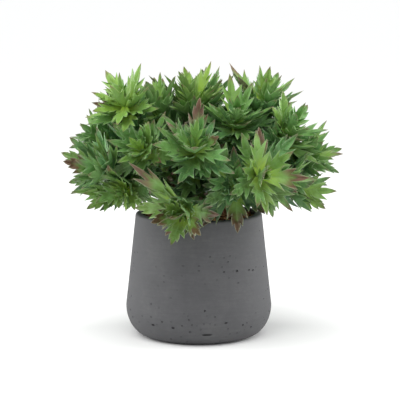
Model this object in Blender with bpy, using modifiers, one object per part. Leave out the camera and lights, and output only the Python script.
"""A potted agave: a bush of toothed leaf rosettes on branching woody stems, in a round tapered stone pot.

Metres, +Z up. The origin is the centre of the pot's flat foot, and -Y is the front.
"""

import math
import random

import bmesh
import bpy
from mathutils import Matrix, Vector
from mathutils.bvhtree import BVHTree

MM = 0.001

# Pot: turned, widest just above its rounded foot, with a slightly narrower rim
POT_HEIGHT = 126 * MM
POT_RIM_RADIUS = 65 * MM
POT_BELLY_RADIUS = 75 * MM
POT_BELLY_HEIGHT = 31 * MM
POT_FOOT_RADIUS = 52 * MM
POT_WALL = 8 * MM
POT_FLOOR = 12 * MM
POT_LIP_ROUND = 2.5 * MM
POT_LIP_ANGLES = (0, 45, 90)
POT_BELLY_ANGLES = (0, 22, 45, 68, 90)
TURNED_SIDES = 36
SHARP_ANGLE = math.radians(40)

# Soil: fills the pot and is heaped towards the middle
SOIL_EDGE_HEIGHT = 119 * MM
SOIL_SHOULDER_HEIGHT = 127 * MM
SOIL_CROWN_HEIGHT = 131 * MM
SOIL_SHOULDER_SHARE = 0.55
SEAT_GAP = 0.3 * MM
WELD_DISTANCE = 0.01 * MM

# Stems: each trunk rises straight out of a hole in the soil, then leans and forks to its rosettes
STEM_HOLE_FLOOR = 100 * MM
HOLE_CLEARANCE = 0.7 * MM
TRUNK_RADIUS = 4.0 * MM
BRANCH_RADIUS = 2.5 * MM
BRANCH_END = 3 * MM
BRANCH_SWEEP = 0.4
ROUTE_STEPS = 3
STEM_SIDES = 6
STEM_GUIDE = Vector((0.3, 1.0, 0.1))

# Rosettes: leaves in a golden-angle spiral up a short green hub, the outer ones lying open
HUB_LENGTH = 17 * MM
HUB_FOOT_RADIUS = 3.3 * MM
HUB_TIP_RADIUS = 1.6 * MM
HUB_SIDES = 6
HUB_GUIDE = Vector((0.0, 0.3, 1.0))
LOWEST_ROOT = 0.12
HIGHEST_ROOT = 0.88
GOLDEN_TURN = math.radians(137.508)
OUTER_LIFT = math.radians(82)
INNER_LIFT = math.radians(14)
LIFT_CURVE = 0.9

# Leaves: folded along the rib, arched towards their face, thick at the rib and thin at the edge
LEAF_LENGTH = 48 * MM
LEAF_HALF_WIDTH = 10.5 * MM
LEAF_THICKNESS = 2.0 * MM
LEAF_FOLD = 0.38
SLIMMEST = 0.45
LEAF_SEED = 7
TURN_SPREAD = 9
LIFT_SPREAD = 9
TWIST_SPREAD = 20
BEND_RANGE = (8, 32)
LENGTH_RANGE = (0.90, 1.10)
WIDTH_RANGE = (0.90, 1.12)
JAG_RANGE = (0.8, 1.2)

# Clearing: a leaf that would cross something is bent, turned or cut shorter until it is clear
CLEAR_SCALES = (1.0, 0.88, 0.76, 0.64, 0.52)
CLEAR_LIFTS = (0, -8, 8, -16, 16, 26)
CLEAR_TURNS = (0, 8, -8, 16, -16)
CLEAR_THICKNESS = 0.7 * MM
CLEAR_GROWTH = 1.04
OUTER_PART = 0.22
HANG_HEIGHT = 136 * MM

# Trunk name: where it stands on the soil, and where it forks, in mm
TRUNKS = {
    "left": ((-34, -2), (-58, -6, 158)),
    "front_left": ((-20, -24), (-32, -37, 170)),
    "front": ((4, -38), (0, -52, 150)),
    "front_right": ((36, -30), (43, -40, 146)),
    "right": ((34, 4), (56, 4, 160)),
    "centre": ((-2, 4), (0, 2, 176)),
    "back_left": ((-20, 32), (-32, 46, 156)),
    "back_right": ((20, 32), (34, 46, 156)),
}

# Rosette name: trunk, centre in mm, the way it faces, size, turn of its first leaf in degrees
ROSETTES = {
    "upper_left": ("left", (-72, -33, 237), (-0.30, -0.50, 0.80), 1.00, 20),
    "left": ("left", (-91, -45, 174), (-0.80, -0.55, 0.20), 1.05, 100),
    "lower_left": ("left", (-72, -44, 157), (-0.50, -0.80, -0.30), 1.00, 60),
    "far_left": ("left", (-95, 14, 196), (-0.75, 0.10, 0.65), 1.00, 0),
    "middle_left": ("front_left", (-52, -54, 194), (-0.40, -0.80, 0.35), 0.95, 40),
    "top_left": ("front_left", (-40, -10, 228), (-0.20, -0.15, 0.95), 1.00, 10),
    "middle": ("front_left", (-4, -72, 196), (-0.10, -0.72, 0.68), 1.05, 0),
    "drooping": ("front", (-14, -86, 140), (-0.25, -0.95, -0.20), 1.05, 15),
    "low_right": ("front", (36, -64, 162), (-0.05, -0.95, 0.10), 1.00, 130),
    "inner_front": ("front", (-2, -34, 176), (-0.05, -0.60, 0.80), 0.95, 0),
    "front_right": ("front_right", (58, -84, 174), (0.30, -0.92, 0.10), 1.08, 90),
    "lower_right": ("front_right", (88, -38, 156), (0.80, -0.50, -0.15), 1.00, 20),
    "top": ("centre", (-4, 2, 232), (0.00, -0.10, 1.00), 1.02, 70),
    "inner_left": ("centre", (-30, 20, 202), (-0.35, -0.20, 0.90), 0.95, 20),
    "inner_right": ("centre", (38, 6, 196), (0.25, -0.40, 0.88), 0.95, 80),
    "top_front": ("centre", (36, -32, 218), (0.10, -0.55, 0.80), 0.95, 50),
    "top_back": ("centre", (4, 46, 230), (0.05, 0.30, 0.94), 1.00, 0),
    "upper_right": ("right", (62, -8, 234), (0.25, -0.10, 0.95), 1.05, 30),
    "mid_right": ("right", (84, -34, 207), (0.45, -0.50, 0.72), 0.98, 110),
    "far_right": ("right", (103, -16, 184), (0.92, -0.15, 0.35), 1.00, 80),
    "back_left_top": ("back_left", (-60, 42, 216), (-0.45, 0.40, 0.80), 1.00, 40),
    "back_left_side": ("back_left", (-74, 68, 176), (-0.70, 0.65, 0.30), 1.00, 90),
    "back_low_left": ("back_left", (-34, 82, 150), (-0.25, 0.95, -0.05), 1.00, 0),
    "back_middle": ("back_right", (2, 92, 192), (0.00, 0.85, 0.50), 1.00, 30),
    "back_right_top": ("back_right", (56, 48, 216), (0.40, 0.45, 0.80), 1.00, 70),
    "back_right_side": ("back_right", (70, 76, 178), (0.60, 0.75, 0.28), 1.00, 20),
    "back_low_right": ("back_right", (38, 80, 148), (0.25, 0.95, -0.05), 1.00, 50),
    "right_back": ("right", (98, 36, 168), (0.88, 0.38, 0.22), 1.00, 60),
}

# Where the tips of a rosette's plainest leaves reach, in mm
LEAF_TIPS = {
    "upper_left": (
        (-59, -15, 275), (-91, -30, 255), (-107, -35, 242), (-105, -55, 235),
        (-72, -15, 260), (-85, -70, 222),
    ),
    "far_left": ((-113, 15, 232), (-126, 0, 206), (-133, 5, 192), (-80, -5, 228)),
    "left": ((-137, -45, 193), (-134, -60, 186), (-124, -60, 166), (-88, -80, 200)),
    "lower_left": ((-101, -60, 147), (-82, -64, 141), (-127, -50, 154), (-50, -58, 144), (-42, -76, 160)),
    "middle_left": ((-68, -80, 212), (-65, -90, 195), (-57, -72, 222), (-80, -74, 186)),
    "top_left": ((-39, -10, 271), (-53, -30, 263), (-48, -50, 226)),
    "middle": ((-45, -90, 206), (-24, -100, 217), (-41, -70, 221), (1, -55, 249), (20, -88, 214)),
    "drooping": ((-68, -105, 191), (-46, -115, 133), (-24, -112, 112), (2, -122, 122), (-37, -108, 152)),
    "low_right": ((8, -85, 213), (8, -90, 172), (4, -90, 148), (38, -90, 119), (34, -75, 203)),
    "front_right": (
        (97, -80, 216), (58, -88, 223), (107, -110, 176), (66, -110, 139),
        (92, -92, 140), (30, -112, 160),
    ),
    "lower_right": ((138, -50, 155), (127, -44, 136), (134, -20, 165)),
    "top": ((-51, 0, 267), (-9, 10, 277), (13, 5, 281), (24, -10, 264), (-26, -42, 244)),
    "top_front": ((31, -20, 270), (39, -70, 240), (16, -40, 238), (50, -72, 208)),
    "upper_right": ((39, -28, 268), (62, 0, 277), (79, 0, 274), (94, -20, 262), (106, -10, 252)),
    "mid_right": ((72, -60, 240), (96, -60, 233), (110, -14, 238), (100, -68, 208)),
    "far_right": ((130, -10, 222), (132, -24, 212), (146, -20, 189), (130, -50, 176)),
}

# Leaves of a rosette, outermost first: teeth on each side, length share, width share
LEAF_ORDER = (
    (2, 1.00, 1.00), (3, 1.00, 1.00), (2, 1.00, 1.00), (2, 0.98, 1.00), (2, 0.98, 1.00),
    (2, 0.95, 0.95), (2, 0.88, 0.92), (2, 0.76, 0.80), (1, 0.60, 0.65), (1, 0.44, 0.48),
)
AIMED_TEETH = 2

# Half of a leaf's outline, as shares of its length and half width: a tooth's tip, then its notch
TEETH = {
    1: (((0.52, 0.95), (0.46, 0.50)),),
    2: (((0.46, 1.00), (0.39, 0.50)), ((0.66, 0.96), (0.58, 0.48))),
    3: (((0.42, 0.94), (0.35, 0.46)), ((0.58, 1.00), (0.51, 0.48)), ((0.73, 0.84), (0.66, 0.42))),
}
MOST_TEETH = 3
RIB_STEP = 0.05

# Finishes: colour in linear values, and roughness
STONE = ((0.115, 0.117, 0.125), 0.85)
PEAT = ((0.10, 0.045, 0.025), 0.95)
BARK = ((0.16, 0.10, 0.06), 0.85)
LEAF_GREEN = ((0.10, 0.27, 0.06), 0.5)


def clear_scene():
    """Removes whatever the opened file holds."""
    for obj in list(bpy.data.objects):
        bpy.data.objects.remove(obj, do_unlink=True)


def material(name, colour, roughness):
    """A Principled material of one colour."""
    made = bpy.data.materials.new(name)
    made.use_nodes = True
    shader = made.node_tree.nodes["Principled BSDF"]
    shader.inputs["Base Color"].default_value = (*colour, 1.0)
    shader.inputs["Roughness"].default_value = roughness
    shader.inputs["Metallic"].default_value = 0.0
    return made


def add_object(name, mesh, collection, finish=None):
    """An object for the mesh, in the collection, with its material."""
    obj = bpy.data.objects.new(name, mesh)
    collection.objects.link(obj)
    if finish is not None:
        mesh.materials.clear()
        mesh.materials.append(finish)
    return obj


def apply_modifiers(obj):
    """Turns the object's modifiers into its own mesh."""
    graph = bpy.context.evaluated_depsgraph_get()
    made = bpy.data.meshes.new_from_object(obj.evaluated_get(graph))
    obj.modifiers.clear()
    obj.data = made


def shade_round(obj):
    """Shades the object smooth, but keeps its real edges sharp."""
    obj.data.shade_smooth()
    obj.data.set_sharp_from_angle(angle=SHARP_ANGLE)


def fuse(base, meshes):
    """Joins the meshes to the base object by one Boolean union on their collection, then removes them."""
    holder = bpy.data.collections.new(base.name + "_pieces")
    bpy.context.scene.collection.children.link(holder)
    for mesh in meshes:
        holder.objects.link(bpy.data.objects.new(mesh.name, mesh))
    union = base.modifiers.new("union", "BOOLEAN")
    union.operation = "UNION"
    union.operand_type = "COLLECTION"
    union.collection = holder
    apply_modifiers(base)
    for obj in list(holder.objects):
        bpy.data.objects.remove(obj)
    bpy.data.collections.remove(holder)


def cone_mesh(name, sides, foot_radius, tip_radius, depth, place):
    """A closed cone or prism, moved from the origin by a matrix."""
    shape = bmesh.new()
    bmesh.ops.create_cone(
        shape,
        cap_ends=True,
        segments=sides,
        radius1=foot_radius,
        radius2=tip_radius,
        depth=depth,
        matrix=place,
    )
    mesh = bpy.data.meshes.new(name)
    shape.to_mesh(mesh)
    shape.free()
    return mesh


# Leaf blade


def leaf_point(leaf, along, across, raised):
    """A point of a blade from its place along and across it, raised above its folded and arched face."""
    out, face = leaf["out"], leaf["face"]
    radius = leaf["length"] / leaf["bend"]
    turned = along / radius
    ahead = out * math.cos(turned) + face * math.sin(turned)
    normal = face * math.cos(turned) - out * math.sin(turned)
    spine = leaf["root"] + out * (radius * math.sin(turned)) + face * (radius * (1 - math.cos(turned)))
    twist = Matrix.Rotation(leaf["twist"] * along / leaf["length"], 3, ahead)
    return spine + twist @ (out.cross(face) * across + normal * (raised + LEAF_FOLD * abs(across)))


def leaf_blade(leaf, foot=0.0, growth=1.0, spare=0.0):
    """Points and triangles of one closed blade, split alike on both faces.

    It is thick along its rib and thins out to its edge, where each tooth and the tip run to a point.
    A later foot, growth and spare thickness make the blade that is used to test for crossings.
    """
    length, width = leaf["length"] * growth, leaf["width"] * growth
    thickness = LEAF_THICKNESS + spare
    points, faces, top, low = [], [], {}, {}

    def edge_point(key, along, across):
        top[key] = low[key] = len(points)
        points.append(leaf_point(leaf, along * length, across * width, 0))

    def rib_point(key, along):
        top[key], low[key] = len(points), len(points) + 1
        points.append(leaf_point(leaf, along * length, 0, thickness / 2))
        points.append(leaf_point(leaf, along * length, 0, -thickness / 2))

    def skin(side, *keys):
        ordered = keys if side > 0 else keys[::-1]
        faces.append([top[key] for key in ordered])
        faces.append([low[key] for key in reversed(ordered)])

    teeth = TEETH[leaf["teeth"]]
    last = len(teeth) - 1
    rib_point("foot", foot)
    edge_point("tip", 1, 0)
    behind = 0
    for place, (_, notch) in enumerate(teeth):
        rib_point(("rib", place), max((behind + notch[0]) / 2, foot + RIB_STEP))
        behind = notch[0]
    for side in (1, -1):
        for place, (tip, notch) in enumerate(teeth):
            reach = notch[1] + (tip[1] - notch[1]) * leaf["jags"][side * (place + 1)]
            edge_point(("tooth", place, side), tip[0], side * reach)
            edge_point(("notch", place, side), notch[0], side * notch[1])
            rib, tooth = ("rib", place), ("tooth", place, side)
            if place == 0:
                skin(side, "foot", tooth, rib)
                root_wall = [top["foot"], low["foot"], top[tooth]]
                faces.append(root_wall if side > 0 else root_wall[::-1])
            else:
                before = ("notch", place - 1, side)
                skin(side, ("rib", place - 1), before, rib)
                skin(side, rib, before, tooth)
            skin(side, rib, tooth, ("notch", place, side))
        skin(side, ("rib", last), ("notch", last, side), "tip")
    return points, faces


# Where each rosette's leaves go


def rosette_frame(name):
    """Where a rosette's hub starts, the way it points, and two directions square to that."""
    _, centre, facing, _, _ = ROSETTES[name]
    axis = Vector(facing).normalized()
    first = axis.cross(HUB_GUIDE).normalized()
    return Vector(centre) * MM - axis * (HUB_LENGTH / 2), axis, first, axis.cross(first)


def leaf_draws(rng):
    """The random part of one leaf, drawn in a fixed order."""
    jag_places = [place for place in range(-MOST_TEETH, MOST_TEETH + 1) if place != 0]
    return {
        "turn": math.radians(rng.uniform(-TURN_SPREAD, TURN_SPREAD)),
        "lift": math.radians(rng.uniform(-LIFT_SPREAD, LIFT_SPREAD)),
        "length": rng.uniform(*LENGTH_RANGE),
        "width": rng.uniform(*WIDTH_RANGE),
        "bend": math.radians(rng.uniform(*BEND_RANGE)),
        "twist": math.radians(rng.uniform(-TWIST_SPREAD, TWIST_SPREAD)),
        "jags": {place: rng.uniform(*JAG_RANGE) for place in jag_places},
    }


def spiral_leaf(name, place, draws):
    """A leaf of the rosette's spiral."""
    foot, axis, first, second = rosette_frame(name)
    _, _, _, size, first_turn = ROSETTES[name]
    teeth, length_share, width_share = LEAF_ORDER[place]
    share = place / (len(LEAF_ORDER) - 1)
    turn = math.radians(first_turn) + place * GOLDEN_TURN + draws["turn"]
    lift = OUTER_LIFT + (INNER_LIFT - OUTER_LIFT) * share ** LIFT_CURVE + draws["lift"]
    outward = first * math.cos(turn) + second * math.sin(turn)
    return {
        "root": foot + axis * (HUB_LENGTH * (LOWEST_ROOT + (HIGHEST_ROOT - LOWEST_ROOT) * share)),
        "out": axis * math.cos(lift) + outward * math.sin(lift),
        "face": axis * math.sin(lift) - outward * math.cos(lift),
        "axis": axis,
        "length": LEAF_LENGTH * size * length_share * draws["length"],
        "width": LEAF_HALF_WIDTH * size * width_share * draws["width"],
        "bend": draws["bend"],
        "twist": draws["twist"],
        "teeth": teeth,
        "jags": draws["jags"],
    }


def aimed_leaf(leaf, tip):
    """The leaf turned and resized so that its arch ends at the tip, its face to the rosette's axis."""
    chord = Vector(tip) * MM - leaf["root"]
    reach = chord.normalized()
    upward = (leaf["axis"] - reach * reach.dot(leaf["axis"])).normalized()
    half = leaf["bend"] / 2
    length = chord.length * half / math.sin(half)
    return {
        **leaf,
        "out": reach * math.cos(half) - upward * math.sin(half),
        "face": upward * math.cos(half) + reach * math.sin(half),
        "length": length,
        "width": LEAF_HALF_WIDTH * (SLIMMEST + (1 - SLIMMEST) * length / LEAF_LENGTH),
        "teeth": max(leaf["teeth"], AIMED_TEETH),
    }


def moved_leaf(leaf, lift, turn, scale):
    """The leaf lifted towards its face, turned about the rosette's axis, and scaled.

    Its width is scaled half as much as its length.
    """
    side = leaf["out"].cross(leaf["face"])
    lifted = Matrix.Rotation(math.radians(lift), 3, side)
    move = Matrix.Rotation(math.radians(turn), 3, leaf["axis"]) @ lifted
    return {
        **leaf,
        "out": move @ leaf["out"],
        "face": move @ leaf["face"],
        "length": leaf["length"] * scale,
        "width": leaf["width"] * (1 + scale) / 2,
    }


def plan_leaves():
    """Each rosette's leaves as wanted, and the aimed ones: those that point nearest to a given tip."""
    rng = random.Random(LEAF_SEED)
    plan = {}
    for name in ROSETTES:
        leaves = [spiral_leaf(name, place, leaf_draws(rng)) for place in range(len(LEAF_ORDER))]
        aimed = set()
        for tip in LEAF_TIPS.get(name, ()):
            likeness = {
                place: leaf["out"].dot((Vector(tip) * MM - leaf["root"]).normalized())
                for place, leaf in enumerate(leaves)
                if place not in aimed
            }
            place = max(likeness, key=likeness.get)
            leaves[place] = aimed_leaf(leaves[place], tip)
            aimed.add(place)
        plan[name] = (leaves, aimed)
    return plan


def tree_of(points, faces):
    """A search tree of a mesh's faces."""
    return BVHTree.FromPolygons([tuple(point) for point in points], faces)


def prism_tree(route, radius):
    """The search tree of a prism along a route."""
    points, faces = [], []
    for place, centre in enumerate(route):
        ahead = route[min(place + 1, len(route) - 1)] - route[max(place - 1, 0)]
        first = ahead.cross(STEM_GUIDE).normalized()
        second = ahead.cross(first).normalized()
        for i in range(STEM_SIDES):
            angle = math.tau * i / STEM_SIDES
            points.append(centre + (first * math.cos(angle) + second * math.sin(angle)) * radius)
    for start in range(0, len(points) - STEM_SIDES, STEM_SIDES):
        for i in range(STEM_SIDES):
            j = (i + 1) % STEM_SIDES
            faces.append([start + i, start + j, start + STEM_SIDES + j, start + STEM_SIDES + i])
    faces.append(list(range(STEM_SIDES)))
    faces.append(list(range(len(points) - STEM_SIDES, len(points))))
    return tree_of(points, faces)


def turned_tree(profile):
    """The search tree of a surface turned about the Z axis from a half profile."""
    angles = [math.tau * i / TURNED_SIDES for i in range(TURNED_SIDES)]
    points = [(r * math.cos(angle), r * math.sin(angle), z) for r, z in profile for angle in angles]
    faces = []
    for start in range(0, len(points) - TURNED_SIDES, TURNED_SIDES):
        for i in range(TURNED_SIDES):
            j = (i + 1) % TURNED_SIDES
            faces.append([start + i, start + j, start + TURNED_SIDES + j, start + TURNED_SIDES + i])
    return tree_of(points, faces)


def standing_trees():
    """Search trees of what the leaves keep clear of besides each other: pot, soil, stems and hubs."""
    trees = {"pot": turned_tree(pot_profile()[1:-1]), "soil": turned_tree(soil_profile()[1:3])}
    for trunk in TRUNKS:
        for place, (route, radius) in enumerate(stem_routes(trunk)):
            trees[f"{trunk} {place}"] = prism_tree(route, radius)
    for name in ROSETTES:
        foot, axis, _, _ = rosette_frame(name)
        trees[name] = prism_tree([foot, foot + axis * HUB_LENGTH], HUB_FOOT_RADIUS)
    return trees


def clear_leaf(leaf, blocks, own, lowest):
    """The least change of the leaf that lifts it above a height and off the blocks, or None.

    Of the changes at one scale it takes the one whose outer part crosses its own rosette's leaves least.
    """
    best, fewest = None, None
    for scale in CLEAR_SCALES:
        for lift in CLEAR_LIFTS:
            for turn in CLEAR_TURNS:
                moved = moved_leaf(leaf, lift, turn, scale)
                if leaf_point(moved, moved["length"], 0, 0).z < lowest:
                    continue
                whole = tree_of(*leaf_blade(moved, 0, CLEAR_GROWTH, CLEAR_THICKNESS))
                if any(whole.overlap(block) for block in blocks):
                    continue
                outer = tree_of(*leaf_blade(moved, OUTER_PART, CLEAR_GROWTH, CLEAR_THICKNESS))
                crossings = sum(len(outer.overlap(other)) for other in own)
                if best is None or crossings < fewest:
                    best, fewest = moved, crossings
                if crossings == 0:
                    return best
        if best is not None:
            return best
    return None


def lay_out_leaves():
    """Every rosette's leaves, the aimed ones first, each clear of all other pieces."""
    plan = plan_leaves()
    standing = standing_trees()
    laid = {name: {} for name in ROSETTES}
    trees = {name: {} for name in ROSETTES}
    for wants_aimed in (True, False):
        for name, (leaves, aimed) in plan.items():
            blocks = [tree for key, tree in standing.items() if key != name]
            blocks += [tree for other in ROSETTES if other != name for tree in trees[other].values()]
            for place, leaf in enumerate(leaves):
                if (place in aimed) != wants_aimed:
                    continue
                lowest = 0 if wants_aimed else HANG_HEIGHT
                cleared = clear_leaf(leaf, blocks, trees[name].values(), lowest)
                if cleared is not None:
                    laid[name][place] = cleared
                    trees[name][place] = tree_of(*leaf_blade(cleared))
    return laid


# Stems


def curve_between(start, lean, end):
    """Points on a curve that leaves start towards lean and comes to end."""
    shares = [i / ROUTE_STEPS for i in range(ROUTE_STEPS + 1)]
    return [start * (1 - t) ** 2 + lean * (2 * t * (1 - t)) + end * t ** 2 for t in shares]


def stem_routes(trunk):
    """A stem's routes and radii: its trunk, then one branch to just under each of its rosettes."""
    (x, y), fork = TRUNKS[trunk]
    start = Vector((x * MM, y * MM, STEM_HOLE_FLOOR + SEAT_GAP))
    above = Vector((x * MM, y * MM, SOIL_CROWN_HEIGHT + TRUNK_RADIUS))
    fork = Vector(fork) * MM
    lean = Vector((above.x, above.y, (above.z + fork.z) / 2))
    routes = [([start] + curve_between(above, lean, fork), TRUNK_RADIUS)]
    for name, (owner, *_) in ROSETTES.items():
        if owner == trunk:
            foot, axis, _, _ = rosette_frame(name)
            end = foot - axis * SEAT_GAP
            straight = end - axis * BRANCH_END
            lean = straight - axis * (BRANCH_SWEEP * (straight - fork).length)
            routes.append((curve_between(fork, lean, straight) + [end], BRANCH_RADIUS))
    return routes


def tube_mesh(name, route, radius):
    """A closed tube along the route, made as a bevelled curve and turned into a mesh."""
    curve = bpy.data.curves.new(name, "CURVE")
    curve.dimensions = "3D"
    curve.bevel_depth = radius
    curve.bevel_resolution = (STEM_SIDES - 4) // 2
    curve.use_fill_caps = True
    spline = curve.splines.new("POLY")
    spline.points.add(len(route) - 1)
    for point, place in zip(spline.points, route):
        point.co = (*place, 1)
    holder = bpy.data.objects.new(name, curve)
    bpy.context.scene.collection.objects.link(holder)
    graph = bpy.context.evaluated_depsgraph_get()
    mesh = bpy.data.meshes.new_from_object(holder.evaluated_get(graph))
    bpy.data.objects.remove(holder)
    bpy.data.curves.remove(curve)
    shape = bmesh.new()
    shape.from_mesh(mesh)
    bmesh.ops.remove_doubles(shape, verts=shape.verts, dist=WELD_DISTANCE)
    shape.to_mesh(mesh)
    shape.free()
    return mesh


def build_stem(trunk, collection, finish):
    """A trunk and its branches, fused into one woody stem."""
    tubes = [tube_mesh(f"{trunk}_{i}", *route) for i, route in enumerate(stem_routes(trunk))]
    stem = add_object("stem_" + trunk, tubes[0], collection, finish)
    fuse(stem, tubes[1:])
    shade_round(stem)


def build_rosette(name, leaves, collection, finish):
    """A rosette's hub with its leaves, fused into one green head."""
    foot, axis, _, _ = rosette_frame(name)
    upright = axis.to_track_quat("Z", "Y").to_matrix().to_4x4()
    place = Matrix.Translation(foot + axis * (HUB_LENGTH / 2)) @ upright
    hub = cone_mesh(name, HUB_SIDES, HUB_FOOT_RADIUS, HUB_TIP_RADIUS, HUB_LENGTH, place)
    rosette = add_object("rosette_" + name, hub, collection, finish)
    blades = []
    for number, leaf in leaves.items():
        points, faces = leaf_blade(leaf)
        blade = bpy.data.meshes.new(f"{name}_leaf_{number}")
        blade.from_pydata([tuple(point) for point in points], [], faces)
        blades.append(blade)
    fuse(rosette, blades)


# Pot and soil


def wall_radius(height):
    """The pot's inner radius at a height on its straight side."""
    share = (height - POT_BELLY_HEIGHT) / (POT_HEIGHT - POT_BELLY_HEIGHT)
    return POT_BELLY_RADIUS + (POT_RIM_RADIUS - POT_BELLY_RADIUS) * share - POT_WALL


def lip_point(degrees):
    """A point of the pot's rounded outer lip, from its flat top down to its side."""
    angle = math.radians(degrees)
    inset = POT_LIP_ROUND * (1 - math.sin(angle))
    return POT_RIM_RADIUS - inset, POT_HEIGHT - POT_LIP_ROUND * (1 - math.cos(angle))


def belly_point(degrees):
    """A point of the pot's rounded belly, from its widest height down to its foot."""
    angle = math.radians(degrees)
    swell = (POT_BELLY_RADIUS - POT_FOOT_RADIUS) * math.cos(angle)
    return POT_FOOT_RADIUS + swell, POT_BELLY_HEIGHT * (1 - math.sin(angle))


def pot_profile():
    """The pot's half profile: inner floor and wall, rounded lip, straight tapered side, belly, foot."""
    inner_rim = wall_radius(POT_HEIGHT)
    return [
        (0, POT_FLOOR),
        (POT_FOOT_RADIUS - POT_WALL, POT_FLOOR),
        (wall_radius(POT_BELLY_HEIGHT), POT_BELLY_HEIGHT),
        (inner_rim, POT_HEIGHT - POT_LIP_ROUND / 2),
        (inner_rim + POT_LIP_ROUND / 2, POT_HEIGHT),
        *[lip_point(degrees) for degrees in POT_LIP_ANGLES],
        *[belly_point(degrees) for degrees in POT_BELLY_ANGLES],
        (0, 0),
    ]


def soil_profile():
    """The soil's half profile: its heaped top, then down the pot's wall and across its floor."""
    edge = wall_radius(SOIL_EDGE_HEIGHT) - SEAT_GAP
    return [
        (0, SOIL_CROWN_HEIGHT),
        (edge * SOIL_SHOULDER_SHARE, SOIL_SHOULDER_HEIGHT),
        (edge, SOIL_EDGE_HEIGHT),
        (wall_radius(POT_BELLY_HEIGHT) - SEAT_GAP, POT_BELLY_HEIGHT + SEAT_GAP),
        (POT_FOOT_RADIUS - POT_WALL - SEAT_GAP, POT_FLOOR + SEAT_GAP),
        (0, POT_FLOOR + SEAT_GAP),
    ]


def turned_solid(name, profile, collection, finish):
    """A solid turned about the Z axis from its half profile."""
    mesh = bpy.data.meshes.new(name)
    mesh.from_pydata([(r, 0, z) for r, z in profile], [(i, i + 1) for i in range(len(profile) - 1)], [])
    solid = add_object(name, mesh, collection, finish)
    screw = solid.modifiers.new("turn", "SCREW")
    screw.axis = "Z"
    screw.angle = math.tau
    screw.steps = TURNED_SIDES
    screw.render_steps = TURNED_SIDES
    screw.use_merge_vertices = True
    screw.merge_threshold = WELD_DISTANCE
    apply_modifiers(solid)
    shade_round(solid)
    return solid


def build_soil(collection, cutters, finish):
    """The soil, with a plain blind hole for each trunk."""
    soil = turned_solid("soil", soil_profile(), collection, finish)
    depth = SOIL_CROWN_HEIGHT - STEM_HOLE_FLOOR + HOLE_CLEARANCE
    radius = TRUNK_RADIUS + HOLE_CLEARANCE
    for trunk, ((x, y), _) in TRUNKS.items():
        place = Matrix.Translation((x * MM, y * MM, STEM_HOLE_FLOOR + depth / 2))
        hole = cone_mesh("hole_" + trunk, STEM_SIDES, radius, radius + HOLE_CLEARANCE, depth, place)
        cutter = add_object("hole_" + trunk, hole, cutters)
        cutter.hide_render = True
        cutter.display_type = "WIRE"
        cut = soil.modifiers.new("hole_" + trunk, "BOOLEAN")
        cut.operation = "DIFFERENCE"
        cut.object = cutter


def main():
    """Builds the pot, the soil, the stems and the rosettes."""
    clear_scene()
    part = bpy.data.collections.new("potted_agave")
    cutters = bpy.data.collections.new("cutters")
    for collection in (part, cutters):
        bpy.context.scene.collection.children.link(collection)
    stone = material("stone", *STONE)
    peat = material("peat", *PEAT)
    bark = material("bark", *BARK)
    green = material("leaf", *LEAF_GREEN)
    turned_solid("pot", pot_profile(), part, stone)
    build_soil(part, cutters, peat)
    for trunk in TRUNKS:
        build_stem(trunk, part, bark)
    for name, leaves in lay_out_leaves().items():
        build_rosette(name, leaves, part, green)


main()
